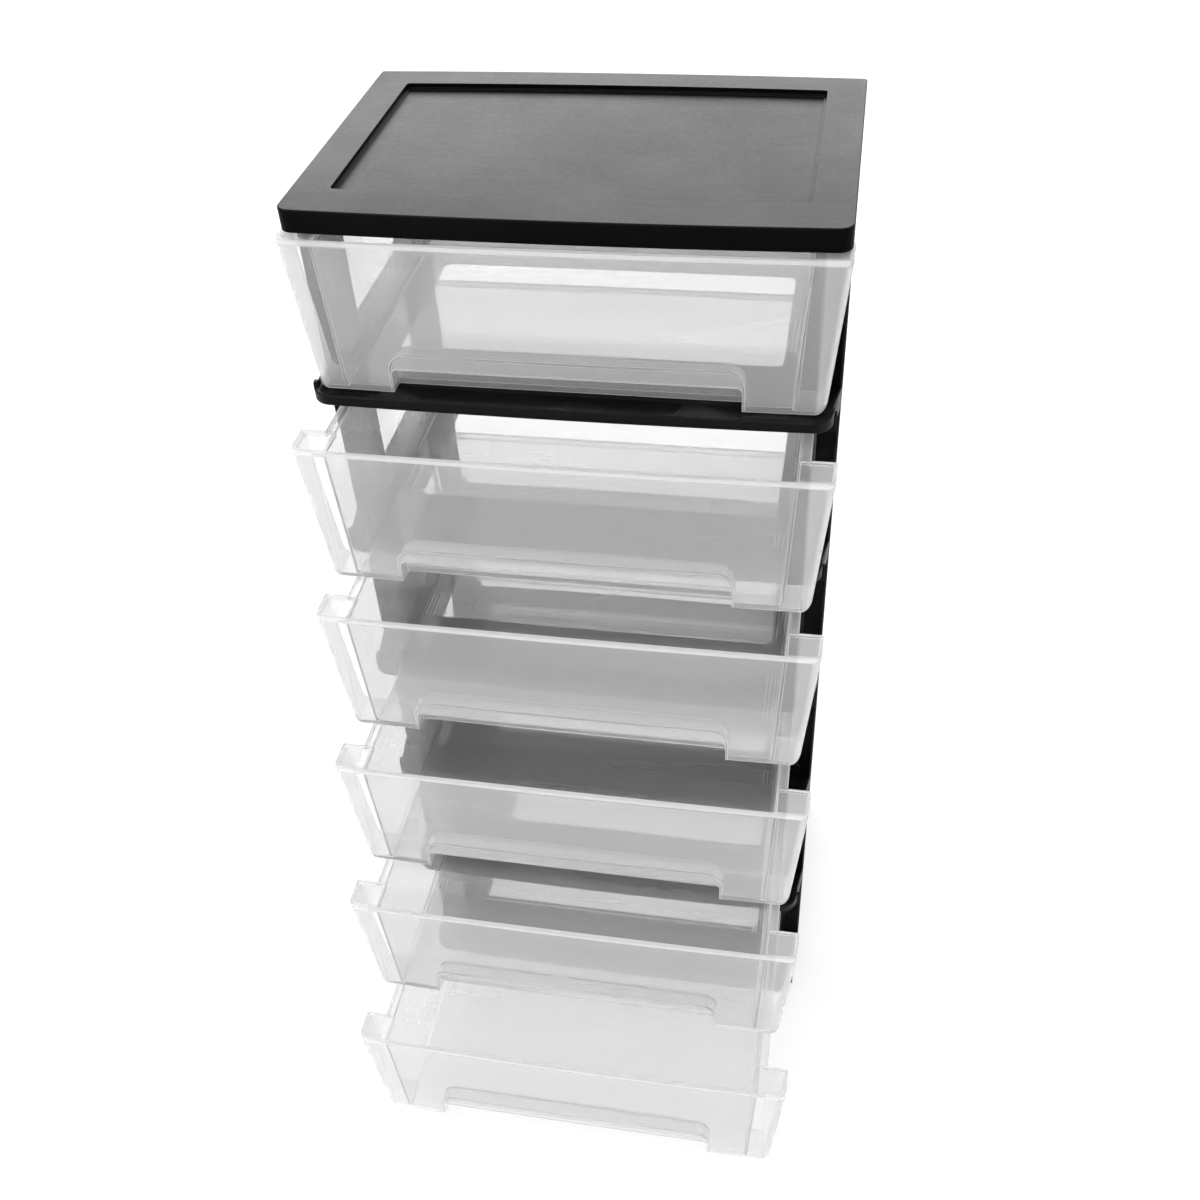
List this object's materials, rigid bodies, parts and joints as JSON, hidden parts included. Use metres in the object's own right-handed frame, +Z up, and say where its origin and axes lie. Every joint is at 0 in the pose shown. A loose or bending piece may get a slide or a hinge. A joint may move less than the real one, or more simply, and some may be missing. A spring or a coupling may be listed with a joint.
{
  "type": "plastic drawer tower",
  "caption": "Tall free-standing tower of open shelf frames on corner posts under a flat cover, with milky see-through sliding drawers for crafts and small parts.",
  "frame": {"origin": "middle of the underside of the whole part's box, drawers drawn out as in the rest pose", "axes": "+Z up, +Y to the rear, so the drawers slide out along -Y, +X to the right seen from the front"},
  "size_m": [0.3932, 0.4614, 0.854],
  "materials": {
    "frame_black": "satin black moulded plastic",
    "drawer_clear": "milky translucent plastic, smooth"
  },
  "bodies": {
    "tower": {"top_cover": "frame_black", "shelf_frame_1": "frame_black", "shelf_frame_2": "frame_black", "shelf_frame_3": "frame_black", "shelf_frame_4": "frame_black", "shelf_frame_5": "frame_black", "base_frame": "frame_black", "post_1_front_left": "frame_black", "post_1_front_right": "frame_black", "post_1_rear_left": "frame_black", "post_1_rear_right": "frame_black", "post_2_front_left": "frame_black", "post_2_front_right": "frame_black", "post_2_rear_left": "frame_black", "post_2_rear_right": "frame_black", "post_3_front_left": "frame_black", "post_3_front_right": "frame_black", "post_3_rear_left": "frame_black", "post_3_rear_right": "frame_black", "post_4_front_left": "frame_black", "post_4_front_right": "frame_black", "post_4_rear_left": "frame_black", "post_4_rear_right": "frame_black", "post_5_front_left": "frame_black", "post_5_front_right": "frame_black", "post_5_rear_left": "frame_black", "post_5_rear_right": "frame_black", "post_6_front_left": "frame_black", "post_6_front_right": "frame_black", "post_6_rear_left": "frame_black", "post_6_rear_right": "frame_black"},
    "drawer_1": {"drawer_1": "drawer_clear"},
    "drawer_2": {"drawer_2": "drawer_clear"},
    "drawer_3": {"drawer_3": "drawer_clear"},
    "drawer_4": {"drawer_4": "drawer_clear"},
    "drawer_5": {"drawer_5": "drawer_clear"},
    "drawer_6": {"drawer_6": "drawer_clear"}
  },
  "joints": [
    {"name": "drawer_1_slide", "type": "slide", "parent": "tower", "child": "drawer_1", "axis": [0, -1, 0], "range_m": [0, 0.197]},
    {"name": "drawer_2_slide", "type": "slide", "parent": "tower", "child": "drawer_2", "axis": [0, -1, 0], "range_m": [-0.05, 0.147]},
    {"name": "drawer_3_slide", "type": "slide", "parent": "tower", "child": "drawer_3", "axis": [0, -1, 0], "range_m": [-0.076, 0.121]},
    {"name": "drawer_4_slide", "type": "slide", "parent": "tower", "child": "drawer_4", "axis": [0, -1, 0], "range_m": [-0.109, 0.088]},
    {"name": "drawer_5_slide", "type": "slide", "parent": "tower", "child": "drawer_5", "axis": [0, -1, 0], "range_m": [-0.147, 0.05]},
    {"name": "drawer_6_slide", "type": "slide", "parent": "tower", "child": "drawer_6", "axis": [0, -1, 0], "range_m": [-0.1945, 0.0025]}
  ]
}
